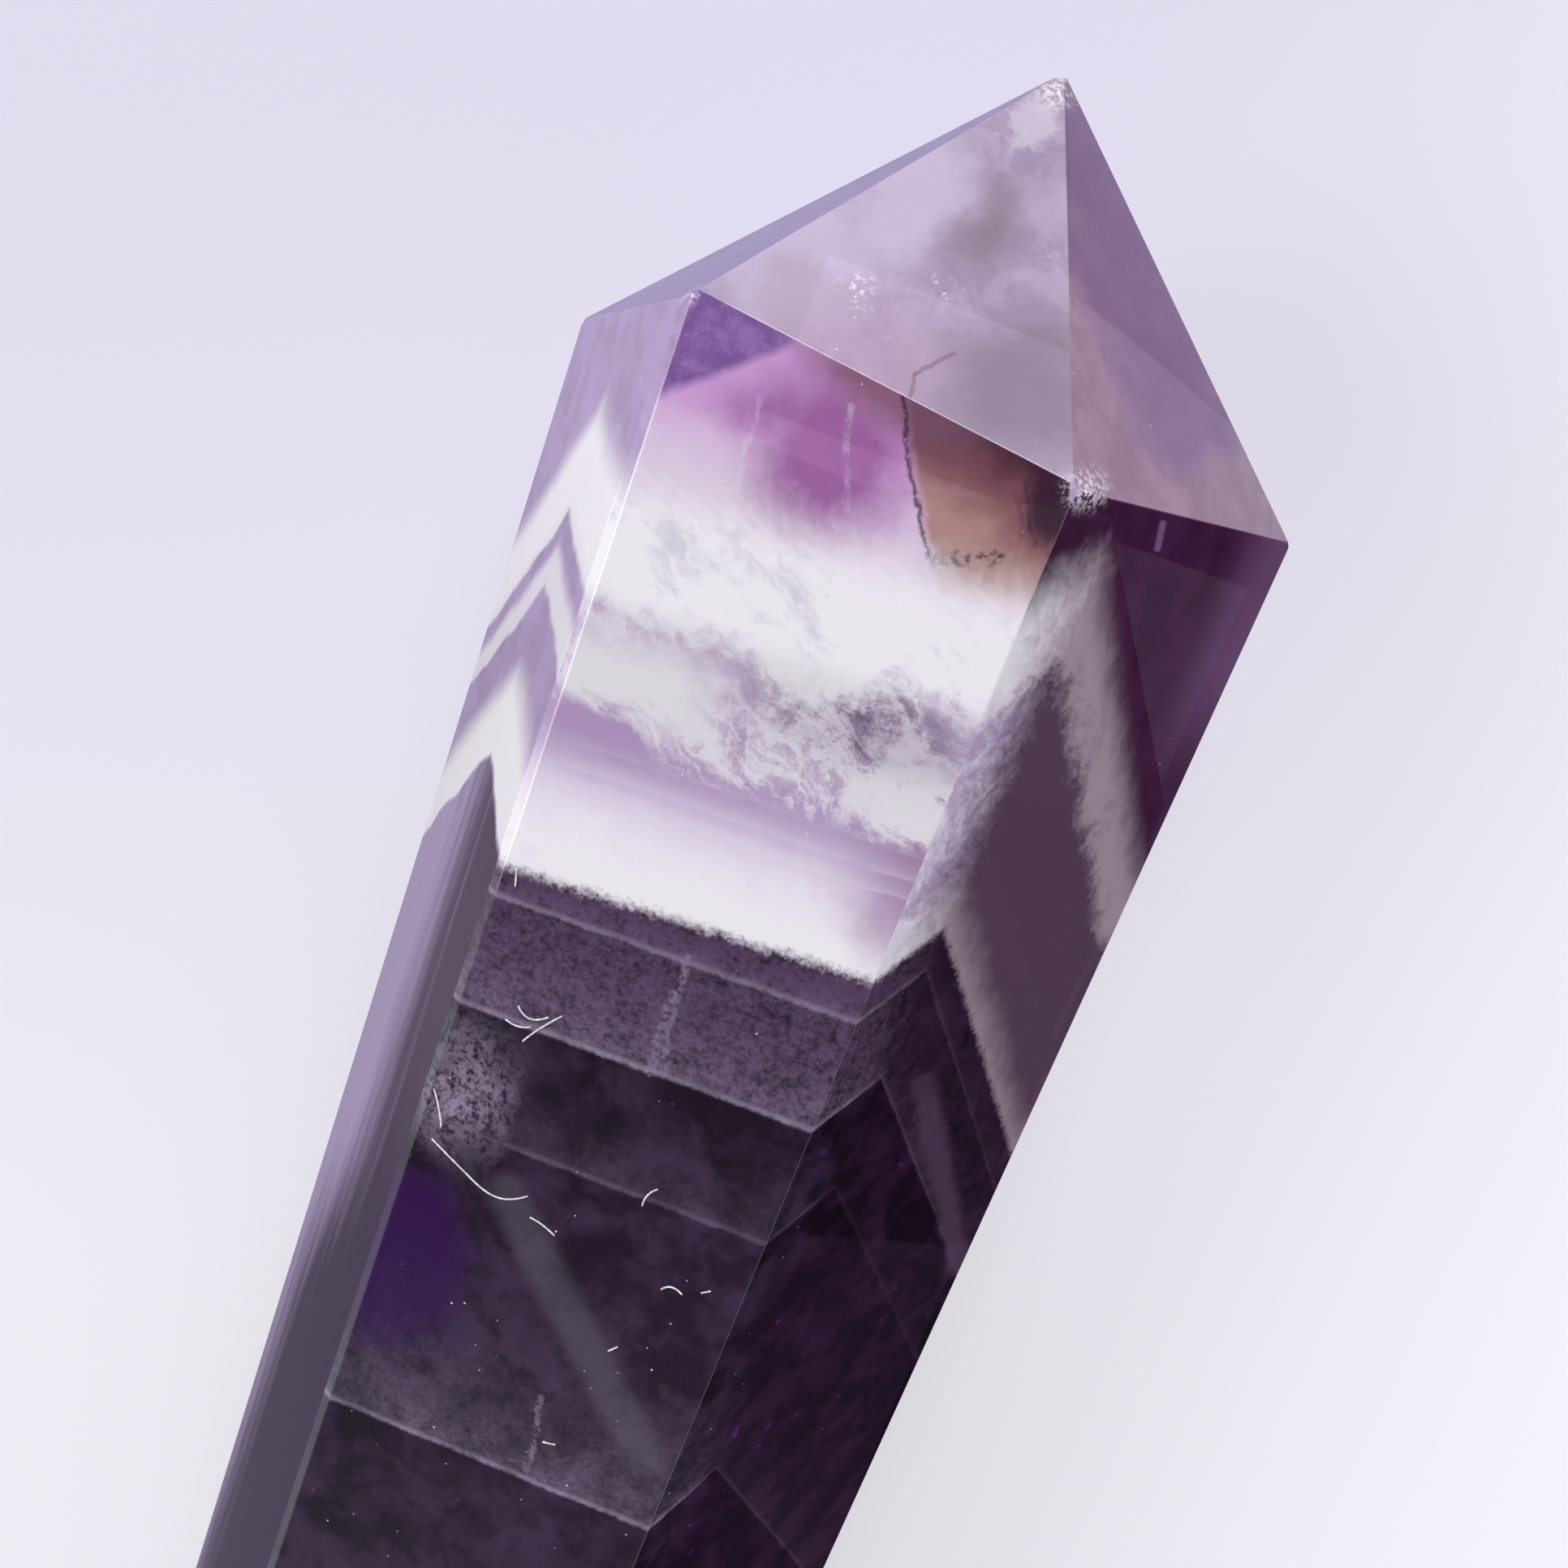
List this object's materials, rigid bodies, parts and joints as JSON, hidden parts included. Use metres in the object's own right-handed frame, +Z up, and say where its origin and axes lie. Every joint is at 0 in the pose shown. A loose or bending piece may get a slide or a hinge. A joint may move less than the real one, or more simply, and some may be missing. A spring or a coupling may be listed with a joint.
{
  "type": "quartz crystal point",
  "caption": "Double terminated chevron amethyst point: a six-sided purple quartz crystal with white bands, lying on one long face.",
  "frame": {"origin": "middle of the footprint, on the surface that the stone rests on", "axes": "+Z up, +Y along the stone towards its near point, +X towards the right-hand long edge"},
  "size_m": [0.024, 0.0836, 0.0208],
  "materials": {
    "amethyst": "polished"
  },
  "bodies": {
    "root": {"amethyst_point": "amethyst"}
  },
  "joints": []
}
